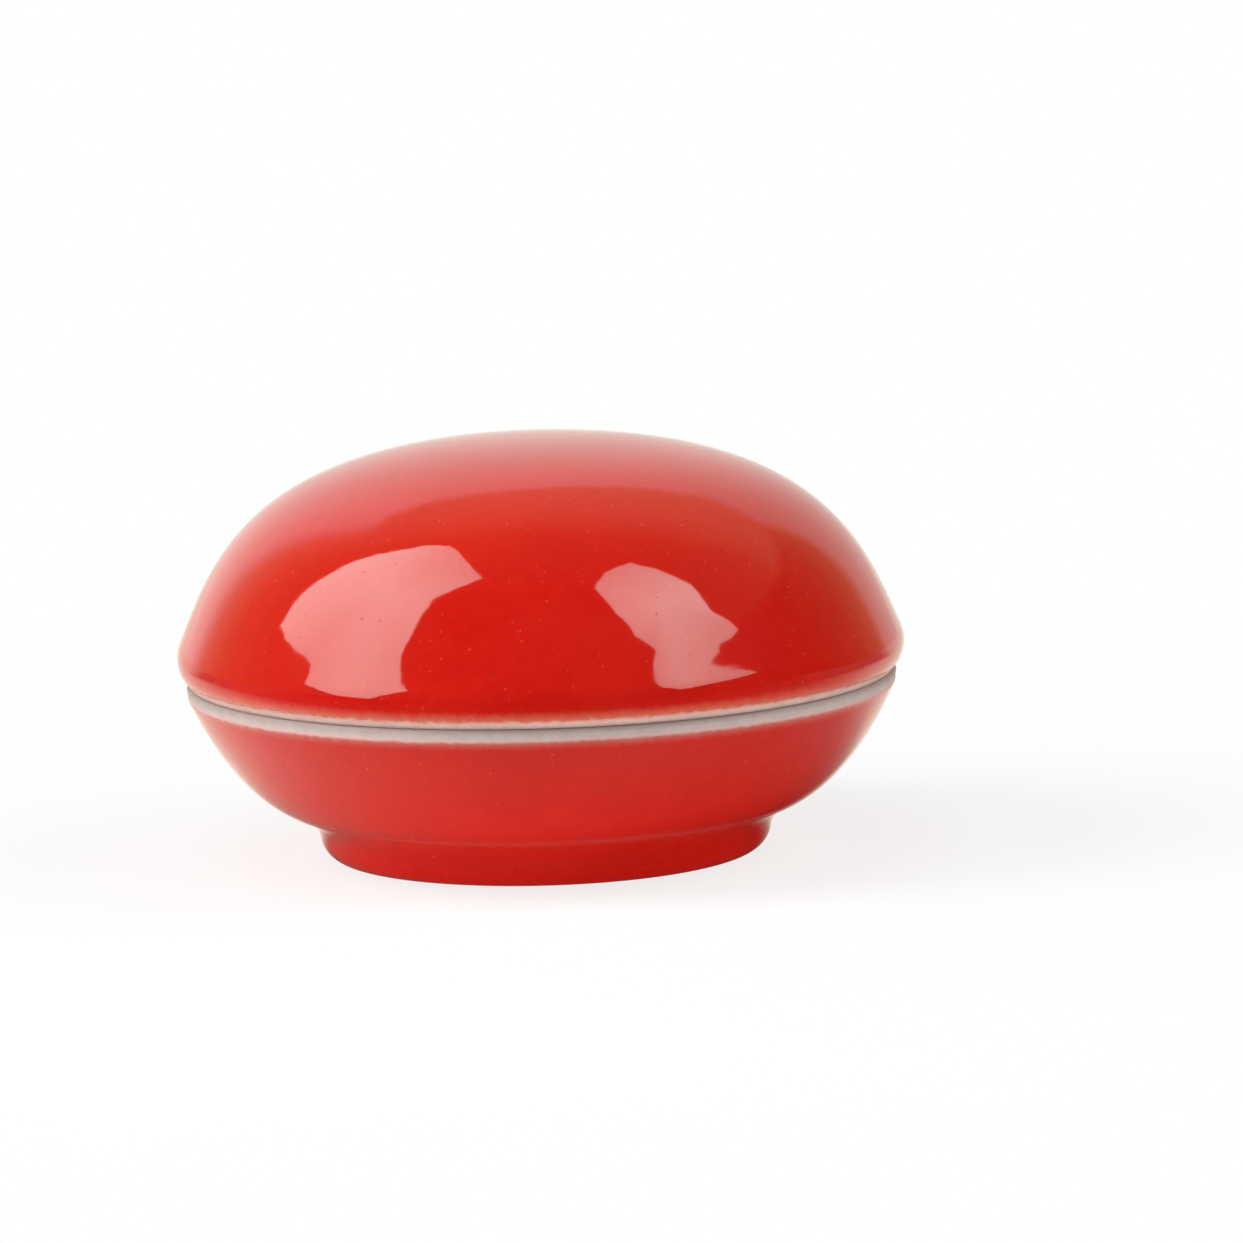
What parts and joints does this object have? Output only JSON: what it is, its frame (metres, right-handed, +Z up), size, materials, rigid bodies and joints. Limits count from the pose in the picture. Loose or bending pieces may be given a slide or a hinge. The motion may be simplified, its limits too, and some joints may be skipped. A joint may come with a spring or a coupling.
{
  "type": "seal paste box",
  "caption": "Round glazed porcelain box on a foot ring, with a domed lift-off lid centred on an inner lip, holding a mound of red seal paste.",
  "frame": {"origin": "centre of the face that the foot ring rests on", "axes": "+Z up along the box's turning axis, towards the lid's crown; +X and +Y level"},
  "size_m": [0.065, 0.065, 0.0375],
  "materials": {
    "bowl_glaze": "gloss",
    "lid_glaze": "gloss",
    "paste": "satin"
  },
  "bodies": {
    "box": {"bowl": "bowl_glaze", "seal_paste": "paste"},
    "lid": {"lid": "lid_glaze"}
  },
  "joints": [
    {"name": "lid_lift", "type": "slide", "parent": "box", "child": "lid", "axis": [0, 0, 1], "range_m": [0, 0.06]}
  ]
}
